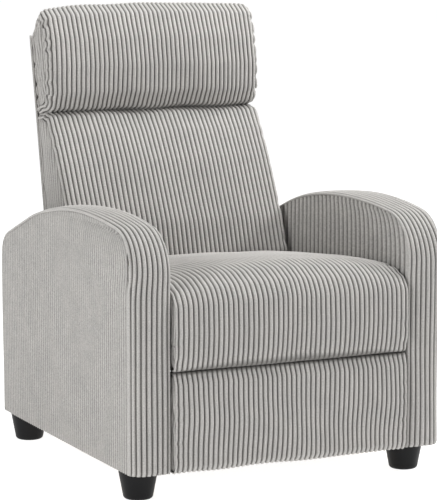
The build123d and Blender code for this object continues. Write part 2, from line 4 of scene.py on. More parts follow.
import bpy
import numpy as np
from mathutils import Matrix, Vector

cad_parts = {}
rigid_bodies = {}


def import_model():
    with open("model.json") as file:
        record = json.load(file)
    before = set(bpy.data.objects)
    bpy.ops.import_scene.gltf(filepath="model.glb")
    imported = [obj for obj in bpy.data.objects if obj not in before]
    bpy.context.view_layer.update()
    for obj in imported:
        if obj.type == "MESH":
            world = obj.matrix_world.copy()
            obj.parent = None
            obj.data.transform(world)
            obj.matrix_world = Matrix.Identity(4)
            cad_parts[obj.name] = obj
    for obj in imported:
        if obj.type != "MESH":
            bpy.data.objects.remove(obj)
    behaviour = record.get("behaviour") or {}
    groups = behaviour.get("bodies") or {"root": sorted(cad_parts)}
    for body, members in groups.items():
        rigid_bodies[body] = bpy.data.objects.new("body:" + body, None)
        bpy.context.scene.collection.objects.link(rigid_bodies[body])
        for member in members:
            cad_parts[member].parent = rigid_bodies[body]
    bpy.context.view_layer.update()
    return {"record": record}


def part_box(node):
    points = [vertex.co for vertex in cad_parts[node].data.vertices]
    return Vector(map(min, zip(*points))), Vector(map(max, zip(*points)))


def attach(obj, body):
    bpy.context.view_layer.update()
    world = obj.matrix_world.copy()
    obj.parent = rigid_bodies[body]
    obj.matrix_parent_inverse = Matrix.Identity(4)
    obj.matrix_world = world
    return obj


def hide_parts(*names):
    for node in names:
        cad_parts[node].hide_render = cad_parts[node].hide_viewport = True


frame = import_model()

# A corduroy recliner. Lengths are metres in the frame of the CAD model: +Z up, the
# chair faces -Y. Every upholstered piece is a grid of points whose columns cross the
# wales (the ribs of the cloth) and whose rows run along them.

# ---- the cloth
PITCH = 0.0107  # from one wale to the next
INNER_PITCH = 0.0185  # the same on the inner sides of the arms, where the wales lie wider apart
DEPTH = 0.0058  # from the top of a wale to the bottom of its groove
WALE_FULLNESS = 0.70  # power on a parabola: under 1 makes a wale fuller and its groove narrower
SEAM_SHADE = 0.35  # the tone left where a seam flattens the wales, since seams lie in shadow
COLUMNS_PER_WALE = 8
LOOP_SAMPLES = 1600  # points on an outline while it is being rounded
PATCH_SHIFT = 0.01  # times the points built before a patch: moves it to cloth of its own
SEED = 7
WANDER_WAVES = 6

# ---- puckers along a side seam
PUCKER_WAVES = 9
PUCKER_PLACE, PUCKER_REACH = 0.010, 0.012  # from the seam to the deepest place, and how far round it
PUCKER_POWER = 1.6  # sharpens the pinches
PUCKER_RISE = 0.35  # the cloth between two pinches rises by this share only
DRIFT = 0.0014  # how far the cloth wanders in and out, and sideways
DRIFT_FADE = 0.03  # the drift dies out over this distance towards the seam

# ---- side panels of a cushion
PANEL_MARGIN = 0.002  # from the ends of the outline to the panel's first and last row
PANEL_ROW = 0.006
PANEL_INSET = 0.0005
PANEL_CROWN_REACH = 0.02
PANEL_TUCK, PANEL_TUCK_REACH = 0.0035, 0.004  # depth and width of the dip along its edge
PANEL_WANDER = 0.0012
PANEL_FLAT_AND_SHADE = 0.005  # the wales flatten, and painted shade darkens them, this near to the edge

# ---- driving places, from the imported model
ARM_LOW, ARM_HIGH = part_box("left_arm_cover")
SEAT_LOW, SEAT_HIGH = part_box("seat_cushion")
PAD_LOW, PAD_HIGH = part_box("footrest_pad")
BACK_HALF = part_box("back_cushion")[1][0]
SEAT_HALF = SEAT_HIGH[0]
ARM_INNER, ARM_OUTER = ARM_LOW[0], ARM_HIGH[0]
ARM_BOTTOM = ARM_LOW[2]
HINGE = (0.170, 0.300)  # Y and Z of the axis that the backrest turns on
LEAN = math.radians(11.2)


# ======================================================================
# Cloth geometry
# ======================================================================
def ridge_height(wale):
    """Height of the cloth over its groove, 0 to 1, at a place counted in wales."""
    across = np.abs(2 * (wale - np.floor(wale)) - 1)
    return np.clip(1 - across**2, 0, 1) ** WALE_FULLNESS


def wander(rows, cols, amount, scale_rows, scale_cols, seed):
    """Smooth random field on a grid: a sum of a few long sine waves."""
    own = np.random.default_rng(SEED + seed)
    r = np.linspace(0, 1, rows)[:, None]
    c = np.linspace(0, 1, cols)[None, :]
    field = np.zeros((rows, cols))
    for _ in range(WANDER_WAVES):
        fr, fc = own.uniform(0.3, 1.0) * scale_rows, own.uniform(0.3, 1.0) * scale_cols
        field += np.sin(2 * np.pi * (fr * r + fc * c + own.uniform()))
    return amount * field / (WANDER_WAVES / 2)


def rounded_loop(points, radius, count):
    """Closed outline through corner points, rounded by averaging, evenly spaced."""
    corners = np.array(points + [points[0]], float)
    steps = np.hypot(*np.diff(corners, axis=0).T)
    length = np.concatenate([[0], np.cumsum(steps)])
    fine = np.linspace(0, length[-1], LOOP_SAMPLES, endpoint=False)
    dense = np.stack([np.interp(fine, length, corners[:, k]) for k in (0, 1)], 1)
    reach = max(1, int(radius / (length[-1] / LOOP_SAMPLES)))
    offsets = np.arange(-reach, reach + 1)
    weights = np.cos(offsets / (reach + 1) * np.pi / 2) ** 2
    smooth = sum(w * np.roll(dense, -k, axis=0) for k, w in zip(offsets, weights)) / weights.sum()
    closed = np.vstack([smooth, smooth[:1]])
    along = np.concatenate([[0], np.cumsum(np.hypot(*np.diff(closed, axis=0).T))])
    even = np.linspace(0, along[-1], count + 1)
    return np.stack([np.interp(even, along, closed[:, k]) for k in (0, 1)], 1), even


def normals_of(grid):
    """Unit normals of a grid of points, from its two directions."""
    down = np.gradient(grid, axis=0)
    across = np.gradient(grid, axis=1)
    normal = np.cross(across, down)
    return normal / np.maximum(np.linalg.norm(normal, axis=2, keepdims=True), 1e-9)


def ribbed(grid, wale, run, side=1.0, strength=1.0, outward=None):
    """Patch of corduroy: the grid's surface with its wales sunk in, the tone that paints shade in its
    grooves and seams, and its cloth places.
    """
    height = ridge_height(wale)
    sunk = (height - 1) * DEPTH * strength
    outward = side * normals_of(grid) if outward is None else outward
    points = grid + outward * np.asarray(sunk)[..., None]
    # painted shade: where strength is low, at seams, creases and panel edges, the ridge tone darkens
    # towards SEAM_SHADE
    height = height * (SEAM_SHADE + (1 - SEAM_SHADE) * np.clip(strength, 0, 1))
    return {"points": points, "ridge_shade": height, "wale": wale, "run": run, "side": side}


def build(name, patches, material):
    """One mesh object from patches of quads, with the cloth's places, and the tone that paints its shade,
    as attributes.
    """
    points, faces, ridge_shade, place = [], [], [], []
    start = 0
    for patch in patches:
        rows, cols = patch["points"].shape[:2]
        index = np.arange(rows * cols).reshape(rows, cols) + start
        quads = np.stack(
            [index[:-1, :-1], index[1:, :-1], index[1:, 1:], index[:-1, 1:]], -1
        ).reshape(-1, 4)
        faces.append(quads if patch["side"] < 0 else quads[:, ::-1])
        points.append(patch["points"].reshape(-1, 3))
        ridge_shade.append(patch["ridge_shade"].reshape(-1))
        wale, run = np.broadcast_arrays(patch["wale"], patch["run"])
        shift = np.full(wale.size, start * PATCH_SHIFT)
        place.append(np.stack([wale.ravel() * PITCH, run.ravel(), shift], 1))
        start += rows * cols
    points, faces = np.concatenate(points), np.concatenate(faces)
    mesh = bpy.data.meshes.new(name)
    mesh.vertices.add(len(points))
    mesh.vertices.foreach_set("co", points.astype(np.float32).ravel())
    mesh.loops.add(faces.size)
    mesh.loops.foreach_set("vertex_index", faces.astype(np.int32).ravel())
    mesh.polygons.add(len(faces))
    mesh.polygons.foreach_set("loop_start", np.arange(0, faces.size, 4, dtype=np.int32))
    mesh.update(calc_edges=True)
    mesh.polygons.foreach_set("use_smooth", np.ones(len(faces), bool))
    mesh.attributes.new("ridge_shade", "FLOAT", "POINT").data.foreach_set(
        "value", np.concatenate(ridge_shade).astype(np.float32)
    )
    mesh.attributes.new("cloth", "FLOAT_VECTOR", "POINT").data.foreach_set(
        "vector", np.concatenate(place).astype(np.float32).ravel()
    )
    piece = bpy.data.objects.new(name, mesh)
    bpy.context.scene.collection.objects.link(piece)
    mesh.materials.append(material)
    return piece


def lean_to_world(section):
    """Backrest section, (behind, up the lean) from the hinge, to (Y, Z)."""
    behind, up = section[..., 0], section[..., 1]
    y = HINGE[0] + up * math.sin(LEAN) + behind * math.cos(LEAN)
    z = HINGE[1] + up * math.cos(LEAN) - behind * math.sin(LEAN)
    return np.stack([y, z], -1)


def outline_ends(outline, levels):
    """Where a closed outline begins and ends at each level."""
    first, last = np.empty(len(levels)), np.empty(len(levels))
    for index, level in enumerate(levels):
        crossing = []
        for (p, q), (r, t) in zip(outline[:-1], outline[1:]):
            if (q - level) * (t - level) <= 0 and q != t:
                crossing.append(p + (r - p) * (level - q) / (t - q))
        first[index], last[index] = min(crossing), max(crossing)
    return first, last


def span_panel(outline, side, half, place, bulge, seed):
    """Flat side panel inside a closed outline, with wales that run up it."""
    low, high = outline[:, 1].min() + PANEL_MARGIN, outline[:, 1].max() - PANEL_MARGIN
    up = np.linspace(low, high, max(24, int((high - low) / PANEL_ROW)))
    first, last = outline_ends(outline, up)
    widest = float((last - first).max())
    share = np.linspace(0, 1, max(4, int(widest / PITCH * COLUMNS_PER_WALE)) + 1)[None, :]
    depth = first[:, None] + share * (last - first)[:, None]
    level = np.broadcast_to(up[:, None], depth.shape)
    gap = np.minimum.reduce([depth - first[:, None], last[:, None] - depth, level - low, high - level])
    swell = bulge * (1 - np.exp(-gap / PANEL_CROWN_REACH)) - PANEL_TUCK * np.exp(-gap / PANEL_TUCK_REACH)
    swell = swell + wander(*depth.shape, PANEL_WANDER, 5, 2, seed)
    yz = np.stack([depth, level], -1)
    yz = place(yz) if place else yz
    across = side * (half - PANEL_INSET + swell)
    grid = np.concatenate([across[..., None], yz], -1)
    sway = wander(*depth.shape, 0.12, 6, 1, seed + 1)
    wale = (depth - depth.min()) / PITCH + sway
    # near the panel's edges the wales flatten and painted shade darkens them
    return ribbed(grid, wale, level, side=side, strength=np.clip(gap / PANEL_FLAT_AND_SHADE, 0.25, 1))


def puckers(rows, seed):
    """How far the cloth is pinched inwards along a side seam, row by row."""
    own = np.random.default_rng(SEED + seed)
    waves = np.zeros(rows + 1)
    for _ in range(PUCKER_WAVES):
        turns = own.integers(rows // 14, rows // 5)
        waves += np.sin(2 * np.pi * (turns * np.arange(rows + 1) / rows + own.uniform()))
    waves = np.clip(waves / 2.2, -1.0, 1.8)
    return np.where(waves > 0, np.maximum(waves, 0) ** PUCKER_POWER, PUCKER_RISE * waves)


def cushion(half, edge, middle, rows, rounding, crown, place=None, pucker=0.0, seed=0,
            edge_radius=0.010, bulge=0.003, flat_and_shade=None):
    """Closed cushion: an outline swept across X, crowned between its sides, with side panels.

    edge and middle are the outline's corners at the sides and at the middle. Wales follow
    the outline all the way round, and puckers gather it along the side seams. crown is the
    power of the fall from middle to edge. The last argument says how strong the wales are at
    each place of the outline, 0 to 1: where it is low they flatten and painted shade darkens them.
    """
    edge_loop, run = rounded_loop(edge, rounding, rows)
    middle_loop, _ = rounded_loop(middle, rounding, rows)
    tangent = np.gradient(edge_loop, axis=0)
    tangent[0] = tangent[-1] = (edge_loop[1] - edge_loop[-2]) / 2
    tangent /= np.linalg.norm(tangent, axis=1, keepdims=True)
    inward = np.stack([-tangent[:, 1], tangent[:, 0]], 1)
    area = np.sum(edge_loop[:-1, 0] * edge_loop[1:, 1] - edge_loop[1:, 0] * edge_loop[:-1, 1])
    inward = inward if area > 0 else -inward
    flat = half - edge_radius
    reach = flat + edge_radius * np.pi / 2
    wales = round(2 * reach / PITCH)
    columns = np.linspace(-reach, reach, wales * COLUMNS_PER_WALE + 1)
    turn = np.clip((np.abs(columns) - flat) / edge_radius, 0, np.pi / 2)
    x = np.sign(columns) * (np.minimum(np.abs(columns), flat) + edge_radius * np.sin(turn))
    inset = edge_radius * (1 - np.cos(turn))
    share = 1 - np.abs(np.clip(columns / reach, -1, 1)) ** crown
    section = edge_loop[:, None] + share[None, :, None] * (middle_loop - edge_loop)[:, None]
    section = section + inset[None, :, None] * inward[:, None]
    from_seam = reach - np.abs(columns)
    # where strength is low the wales flatten and painted shade darkens them
    strength = flat_and_shade(edge_loop) if flat_and_shade else np.ones(rows + 1)
    if pucker:
        near = np.exp(-((from_seam - PUCKER_PLACE) / PUCKER_REACH) ** 2)
        waves = (puckers(rows, seed) * strength)[:, None]
        section = section + (pucker * waves * near[None])[..., None] * inward[:, None]
    edge_fade = np.clip(from_seam / DRIFT_FADE, 0, 1)
    drift = wander(rows + 1, len(columns), DRIFT, 3, 4, seed + 1)
    drift[-1] = drift[0]
    drift = drift * strength[:, None]
    section = section + (drift * edge_fade[None])[..., None] * inward[:, None]
    lateral = wander(rows + 1, len(columns), DRIFT, 4, 2, seed + 2)
    lateral[-1] = lateral[0]
    xs = x[None] + lateral * edge_fade[None]
    wale = np.broadcast_to((columns + reach) / (2 * reach) * wales, xs.shape)
    yz = place(section) if place else section
    grid = np.concatenate([xs[..., None], yz], -1)
    facing = -1.0 if area > 0 else 1.0
    outward = -inward[:, None] * np.cos(turn)[None, :, None]
    outward = place(outward) - place(np.zeros(2)) if place else outward
    sideways = np.broadcast_to(np.sign(columns) * np.sin(turn), xs.shape)
    outward = np.concatenate([sideways[..., None], outward], -1)
    face = ribbed(grid, wale, run[:, None], facing, strength[:, None], outward)
    rim = edge_loop + (edge_radius - 0.001) * inward
    panels = [
        span_panel(rim, side, half, place, bulge, seed + 3 + side) for side in (-1, 1)
    ]
    return [face] + panels


# ======================================================================
# Materials
# ======================================================================
def new_material(name):
    """Empty node material, its shader and a helper that adds linked nodes."""
    material = bpy.data.materials.new(name)
    material.use_nodes = True
    nodes, links = material.node_tree.nodes, material.node_tree.links
    shader = nodes["Principled BSDF"]

    def add(kind, **settings):
        node = nodes.new(kind)
        for key, value in settings.items():
            if key == "inputs":
                for socket, entry in value.items():
                    if isinstance(entry, bpy.types.NodeSocket):
                        links.new(entry, node.inputs[socket])
                    else:
                        node.inputs[socket].default_value = entry
            else:
                setattr(node, key, value)
        return node

    return material, shader, add, links


def ramp(add, source, stops):
    """Colour ramp over a value."""
    node = add("ShaderNodeValToRGB", inputs={"Fac": source})
    band = node.color_ramp
    while len(band.elements) < len(stops):
        band.elements.new(0.5)
    for element, (place, color) in zip(band.elements, stops):
        element.position = place
        element.color = (*color, 1)
    return node.outputs["Color"]


def roughen(add, links, shader, height, strength, distance):
    """Bump on a shader from a height."""
    bump = add("ShaderNodeBump", inputs={"Strength": strength, "Distance": distance, "Height": height})
    links.new(bump.outputs["Normal"], shader.inputs["Normal"])


def multiplied(add, first, second):
    """Product of two colours."""
    mix = add("ShaderNodeMix", data_type="RGBA", blend_type="MULTIPLY",
              inputs={0: 1.0, 6: first, 7: second})
    return mix.outputs[2]


# the cloth's own tone on the wale tops, and painted shade on the flanks and in the grooves
CLOTH_TOP = (0.50, 0.488, 0.472)
CLOTH_FLANK_SHADE = (0.29, 0.281, 0.270)
CLOTH_GROOVE_SHADE = (0.060, 0.056, 0.051)


def corduroy():
    """Soft brushed pile on the wales, flatter in the grooves, with painted shade that darkens the flanks of
    the wales and their grooves.
    """
    material, shader, add, links = new_material("corduroy")
    cloth = add("ShaderNodeAttribute", attribute_name="cloth").outputs["Vector"]
    ridge_shade = add("ShaderNodeAttribute", attribute_name="ridge_shade").outputs["Fac"]
    # painted shade: the ridge tone runs from the cloth's own tone on the wale tops to darker flanks and
    # nearly black grooves
    base = ramp(add, ridge_shade, [(0.05, CLOTH_GROOVE_SHADE), (0.58, CLOTH_FLANK_SHADE), (0.90, CLOTH_TOP)])
    # pile: streaks a few hairs wide that run along the wale, and soft brushed patches
    streaks = add("ShaderNodeMapping", inputs={"Vector": cloth, "Scale": (800.0, 330.0, 1.0)})
    pile = add("ShaderNodeTexNoise", inputs={
        "Vector": streaks.outputs["Vector"], "Scale": 1.0, "Detail": 3.0, "Roughness": 0.65})
    brushed = add("ShaderNodeTexNoise", inputs={
        "Vector": cloth, "Scale": 22.0, "Detail": 4.0, "Roughness": 0.6})
    nap = ramp(add, pile.outputs["Fac"], [(0.30, (0.74, 0.74, 0.735)), (0.70, (1.20, 1.20, 1.195))])
    patch = ramp(add, brushed.outputs["Fac"], [(0.3, (0.93, 0.93, 0.935)), (0.7, (1.05, 1.045, 1.04))])
    links.new(multiplied(add, multiplied(add, base, nap), patch), shader.inputs["Base Color"])
    tufts = add("ShaderNodeMapping", inputs={"Vector": cloth, "Scale": (900.0, 620.0, 1.0)})
    tuft = add("ShaderNodeTexNoise", inputs={
        "Vector": tufts.outputs["Vector"], "Scale": 1.0, "Detail": 2.0})
    mixed = add("ShaderNodeMath", operation="ADD",
                inputs={0: pile.outputs["Fac"], 1: tuft.outputs["Fac"]})
    roughen(add, links, shader, mixed.outputs[0], strength=0.7, distance=0.0014)
    shader.inputs["Roughness"].default_value = 0.88
    shader.inputs["Sheen Weight"].default_value = 0.45
    shader.inputs["Sheen Roughness"].default_value = 0.45
    shader.inputs["Sheen Tint"].default_value = (0.95, 0.93, 0.90, 1)
    shader.inputs["Specular IOR Level"].default_value = 0.15
    return material


def moulded_plastic():
    """Black plastic with a fine spark texture."""
    material, shader, add, links = new_material("moulded_plastic")
    here = add("ShaderNodeTexCoord").outputs["Object"]
    grain = add("ShaderNodeTexNoise", inputs={"Vector": here, "Scale": 900.0, "Detail": 3.0})
    wear = add("ShaderNodeTexNoise", inputs={"Vector": here, "Scale": 14.0, "Detail": 5.0})
    color = ramp(add, wear.outputs["Fac"], [(0.3, (0.0035, 0.0035, 0.004)), (0.8, (0.008, 0.008, 0.009))])
    rough = ramp(add, wear.outputs["Fac"], [(0.3, (0.40,) * 3), (0.8, (0.56,) * 3)])
    links.new(color, shader.inputs["Base Color"])
    links.new(rough, shader.inputs["Roughness"])
    shader.inputs["Specular IOR Level"].default_value = 0.18
    roughen(add, links, shader, grain.outputs["Fac"], strength=0.35, distance=0.0003)
    return material


def timber():
    """Sawn pale hardwood with its grain along Y and a rough saw texture."""
    material, shader, add, links = new_material("timber")
    here = add("ShaderNodeTexCoord").outputs["Object"]
    stretched = add("ShaderNodeMapping", inputs={"Vector": here, "Scale": (60.0, 6.0, 60.0)})
    grain = add("ShaderNodeTexNoise", inputs={
        "Vector": stretched.outputs["Vector"], "Scale": 1.6, "Detail": 8.0, "Roughness": 0.62,
        "Distortion": 0.7})
    color = ramp(add, grain.outputs["Fac"], [
        (0.3, (0.34, 0.22, 0.12)), (0.5, (0.55, 0.39, 0.23)), (0.7, (0.68, 0.52, 0.34))])
    links.new(color, shader.inputs["Base Color"])
    shader.inputs["Roughness"].default_value = 0.75
    roughen(add, links, shader, grain.outputs["Fac"], strength=0.4, distance=0.0006)
    return material


SCUFFED_ROUGHER = 0.16  # added to a metal's roughness where it is scuffed


def metal(name, dark, light, rough, metallic):
    """Painted or plated steel with slight orange peel and scuffed tone."""
    material, shader, add, links = new_material(name)
    here = add("ShaderNodeTexCoord").outputs["Object"]
    scuff = add("ShaderNodeTexNoise", inputs={"Vector": here, "Scale": 30.0, "Detail": 6.0})
    peel = add("ShaderNodeTexNoise", inputs={"Vector": here, "Scale": 450.0, "Detail": 2.0})
    color = ramp(add, scuff.outputs["Fac"], [(0.3, dark), (0.75, light)])
    worn = ramp(add, scuff.outputs["Fac"], [(0.3, (rough,) * 3), (0.8, (rough + SCUFFED_ROUGHER,) * 3)])
    links.new(color, shader.inputs["Base Color"])
    links.new(worn, shader.inputs["Roughness"])
    roughen(add, links, shader, peel.outputs["Fac"], strength=0.2, distance=0.0003)
    shader.inputs["Metallic"].default_value = metallic
    return material


CLOTH = corduroy()
FINISHES = {
    "foot_plastic": moulded_plastic(),
    "timber": timber(),
    "linkage": metal("powder_coat", (0.012, 0.012, 0.013), (0.03, 0.03, 0.032), 0.42, 0.0),
    "bright_steel": metal("zinc_plate", (0.45, 0.45, 0.47), (0.66, 0.66, 0.68), 0.28, 1.0),
}
for entry in frame["record"]["subparts"]:
    if entry["material_slot"] in FINISHES:
        materials = bpy.data.objects[entry["node"]].data.materials
        materials.clear()
        materials.append(FINISHES[entry["material_slot"]])


def upholster(name, patches, body, nodes):
    """Build a soft piece, let it ride on its body, and hide the parts it stands for."""
    piece = build(name, patches, CLOTH)
    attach(piece, body)
    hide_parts(*nodes)


# ======================================================================
# Seat and footrest
# ======================================================================
NOSE = SEAT_LOW[1]
SEAT_REAR = SEAT_HIGH[1] - 0.001
SEAT_UNDER = 0.305
CREASE = SEAT_LOW[2] - 0.0025  # level of the face that meets the footrest
FLAT_SHADE_REACH, FLAT_SHADE_LEAST = 0.005, 0.1  # how near, and how much, the wales flatten and painted shade darkens them there
TUCK = NOSE + 0.0405  # the rear of the lip over the footrest
SIDE_FILL = 0.0015  # the cloth stands this much further out than the plain solids


def flat_and_shaded_near(level, side):
    """Strength of the wales on an outline that flattens them, and darkens them with painted shade, at its
    bottom (side 1) or top (-1).
    """
    def strength(loop):
        return np.clip(side * (loop[:, 1] - level) / FLAT_SHADE_REACH, FLAT_SHADE_LEAST, 1)

    return strength


seat_edge = [
    (SEAT_REAR, SEAT_UNDER), (SEAT_REAR, 0.398), (-0.07, 0.415), (-0.21, 0.427), (-0.29, 0.430),
    (-0.335, 0.427), (NOSE + 0.022, 0.414), (NOSE + 0.004, 0.395), (NOSE + 0.001, 0.335),
    (NOSE + 0.003, 0.290), (NOSE + 0.010, CREASE), (TUCK, CREASE), (TUCK, SEAT_UNDER),
]
seat_middle = [
    (SEAT_REAR, SEAT_UNDER), (SEAT_REAR, 0.412), (-0.07, 0.436), (-0.21, 0.450), (-0.29, 0.452),
    (-0.335, 0.445), (NOSE + 0.020, 0.426), (NOSE + 0.002, 0.398), (NOSE - 0.001, 0.335),
    (NOSE + 0.002, 0.290), (NOSE + 0.010, CREASE), (TUCK, CREASE), (TUCK, SEAT_UNDER),
]
seat = cushion(
    SEAT_HALF + SIDE_FILL, seat_edge, seat_middle, rows=220, rounding=0.022, crown=2.6, pucker=0.0016,
    seed=11, edge_radius=0.006, bulge=0.001, flat_and_shade=flat_and_shaded_near(CREASE, 1),
)
upholster("seat_upholstery", seat, "seat", ["seat_cushion"])

PAD_FRONT, PAD_BACK = PAD_LOW[1], PAD_HIGH[1] - 0.0005
PAD_BOTTOM, PAD_TOP = PAD_LOW[2], PAD_HIGH[2] + 0.0017
pad_edge = [
    (PAD_BACK, PAD_BOTTOM), (PAD_FRONT + 0.012, PAD_BOTTOM), (PAD_FRONT + 0.004, PAD_BOTTOM + 0.012),
    (PAD_FRONT + 0.002, 0.16), (PAD_FRONT + 0.004, PAD_TOP - 0.022), (PAD_FRONT + 0.012, PAD_TOP),
    (PAD_BACK, PAD_TOP),
]
pad_middle = [
    (PAD_BACK, PAD_BOTTOM), (PAD_FRONT + 0.011, PAD_BOTTOM), (PAD_FRONT + 0.002, PAD_BOTTOM + 0.012),
    (PAD_FRONT - 0.003, 0.16), (PAD_FRONT, PAD_TOP - 0.022), (PAD_FRONT + 0.011, PAD_TOP),
    (PAD_BACK, PAD_TOP),
]
pad = cushion(
    SEAT_HALF + SIDE_FILL, pad_edge, pad_middle, rows=120, rounding=0.007, crown=3.0, pucker=0.0008,
    seed=23, edge_radius=0.004, bulge=0.001, flat_and_shade=flat_and_shaded_near(PAD_TOP, -1),
)
upholster("footrest_upholstery", pad, "footrest", ["footrest_pad"])

# ======================================================================
# Backrest: (behind, up the lean) from the hinge
# ======================================================================
BACK_REAR = 0.0995
HEAD_SEAM = 0.430
back_edge = [
    (BACK_REAR, 0.027), (-0.046, 0.027), (-0.066, 0.092), (-0.052, 0.170), (-0.014, 0.308),
    (0.010, 0.375), (0.030, HEAD_SEAM - 0.010), (0.056, HEAD_SEAM + 0.003), (BACK_REAR, HEAD_SEAM + 0.003),
]
back_middle = [
    (BACK_REAR, 0.027), (-0.050, 0.027), (-0.073, 0.092), (-0.067, 0.170), (-0.030, 0.308),
    (-0.004, 0.375), (0.022, HEAD_SEAM - 0.012), (0.056, HEAD_SEAM + 0.003), (BACK_REAR, HEAD_SEAM + 0.003),
]
back = cushion(
    BACK_HALF, back_edge, back_middle, rows=170, rounding=0.012, crown=2.4, place=lean_to_world,
    pucker=0.0018, seed=37, edge_radius=0.016,
)
BACK_NODES = ["back_cushion", "right_back_gusset", "left_back_gusset"]
upholster("back_upholstery", back, "backrest", BACK_NODES)

head_edge = [
    (BACK_REAR, HEAD_SEAM - 0.003), (0.056, HEAD_SEAM - 0.003), (0.031, HEAD_SEAM + 0.004),
    (0.013, 0.462), (0.003, 0.520), (0.002, 0.580), (0.009, 0.630), (0.034, 0.655), (0.068, 0.635),
    (BACK_REAR, 0.606),
]
head_middle = [
    (BACK_REAR, HEAD_SEAM - 0.003), (0.056, HEAD_SEAM - 0.003), (0.025, HEAD_SEAM + 0.002),
    (0.000, 0.462), (-0.013, 0.520), (-0.014, 0.580), (-0.001, 0.637), (0.032, 0.664), (0.070, 0.652),
    (BACK_REAR + 0.002, 0.614),
]
head = cushion(
    BACK_HALF, head_edge, head_middle, rows=150, rounding=0.012, crown=2.8, place=lean_to_world,
    pucker=0.0040, seed=41, edge_radius=0.020,
)
upholster("head_upholstery", head, "backrest", ["head_cushion"])

PANEL_FRONT, PANEL_REAR = BACK_REAR - 0.001, 0.106
PANEL_LOW, PANEL_TOP = -0.041, 0.606


def panel_outline(swell, corner):
    """Outline of the outside back panel, whose rear and rear corners lie off PANEL_REAR."""
    return [
        (PANEL_FRONT, PANEL_LOW), (PANEL_FRONT, PANEL_TOP), (PANEL_REAR + corner, PANEL_TOP),
        (PANEL_REAR + swell, PANEL_TOP - 0.01), (PANEL_REAR + swell, PANEL_LOW + 0.01),
        (PANEL_REAR + corner, PANEL_LOW),
    ]


rear = cushion(
    BACK_HALF, panel_outline(-0.001, -0.002), panel_outline(0.002, -0.001), rows=190, rounding=0.003,
    crown=3.0, place=lean_to_world, seed=53, edge_radius=0.003, bulge=0.0,
)
upholster("back_panel_upholstery", rear, "backrest", ["back_panel"])

# ======================================================================
# Arms: a strip over the front, top and rear, and a panel on each side
# ======================================================================
ARM_FRONT, ARM_REAR = ARM_LOW[1], ARM_HIGH[1]
ARM_ROWS = 260
# corners of the side profile, (Y, Z), from the front over the top to the rear
FRONT_SHOULDER = (ARM_FRONT, 0.425)
TOP_START, TOP_END = (-0.304, 0.541), (0.060, 0.537)
SLOPE_START, SLOPE_END = (0.190, 0.500), (0.292, 0.463)
REAR_SHOULDER = (ARM_REAR, 0.400)
PATH_SAMPLES = 2000
PATH_SMOOTHING = 30  # samples on each side that soften the profile's corners
EDGE_ROUND = 0.007  # radius of the strip's long edges
FRONT_ROUND = 0.021  # added to the outer edge's radius at the front
FRONT_LENGTH, FRONT_FADE = 0.33, 0.10  # how far up and over the front it is fuller, and its taper
STRIP_CROWN = 0.003
END_TUCK, END_REACH = 0.003, 0.004  # both ends of the strip sink by this much, over this length
ARM_WANDER = 0.0008
# the side panels
ROW_CROWDING = 0.62  # power on the rows' places: under 1 crowds them towards the rim
SIDE_INSET = 0.0015
SIDE_CROWN, SIDE_CROWN_REACH = 0.0025, 0.05
SIDE_TUCK, SIDE_TUCK_REACH = 0.0020, 0.003
# the wales of a side panel flatten, and painted shade darkens them, this near to its edges
SIDE_FLAT_AND_SHADE = 0.004
FRONT_CURVE_TOP = 0.535  # the rim's rearward bend at the front ends at this level
RIM_LOW, RIM_HIGH = 0.16, 0.38  # the rim is read above the first, and again above the second
ARCH_REACH = 0.16  # how far behind the front the wales still bend with it


def three_point_arc(start, through, end, count):
    """Points of the circular arc from start to end by way of a third point."""
    (ax, ay), (bx, by), (cx, cy) = start, through, end
    d = 2 * (ax * (by - cy) + bx * (cy - ay) + cx * (ay - by))
    ux = ((ax**2 + ay**2) * (by - cy) + (bx**2 + by**2) * (cy - ay) + (cx**2 + cy**2) * (ay - by)) / d
    uy = ((ax**2 + ay**2) * (cx - bx) + (bx**2 + by**2) * (ax - cx) + (cx**2 + cy**2) * (bx - ax)) / d
    radius = math.hypot(ax - ux, ay - uy)
    first, last = math.atan2(ay - uy, ax - ux), math.atan2(cy - uy, cx - ux)
    if last > first:
        last -= 2 * math.pi
    angle = np.linspace(first, last, count)
    return np.stack([ux + radius * np.cos(angle), uy + radius * np.sin(angle)], 1)


def arm_path(count):
    """Side profile of the arm from its front foot over the top to its rear, evenly spaced."""
    pieces = [
        np.array([(ARM_FRONT, ARM_BOTTOM), FRONT_SHOULDER]),
        three_point_arc(FRONT_SHOULDER, (-0.363, 0.506), TOP_START, 40),
        three_point_arc(TOP_START, (-0.120, 0.554), TOP_END, 40),
        three_point_arc(TOP_END, (0.134, 0.520), SLOPE_START, 20),
        np.array([SLOPE_START, SLOPE_END]),
        three_point_arc(SLOPE_END, (0.327, 0.441), REAR_SHOULDER, 30),
        np.array([REAR_SHOULDER, (ARM_REAR - 0.006, ARM_BOTTOM)]),
    ]
    path = np.concatenate(pieces)
    length = np.concatenate([[0], np.cumsum(np.hypot(*np.diff(path, axis=0).T))])
    even = np.linspace(0, length[-1], PATH_SAMPLES)
    dense = np.stack([np.interp(even, length, path[:, k]) for k in (0, 1)], 1)
    kernel = np.hanning(2 * PATH_SMOOTHING + 1)
    kernel /= kernel.sum()
    before = 2 * dense[0] - dense[PATH_SMOOTHING:0:-1]
    after = 2 * dense[-1] - dense[-2:-PATH_SMOOTHING - 2:-1]
    padded = np.concatenate([before, dense, after])
    smooth = np.stack([np.convolve(padded[:, k], kernel, "valid") for k in (0, 1)], 1)
    run = np.linspace(0, length[-1], count)
    return np.stack([np.interp(run, even, smooth[:, k]) for k in (0, 1)], 1), run


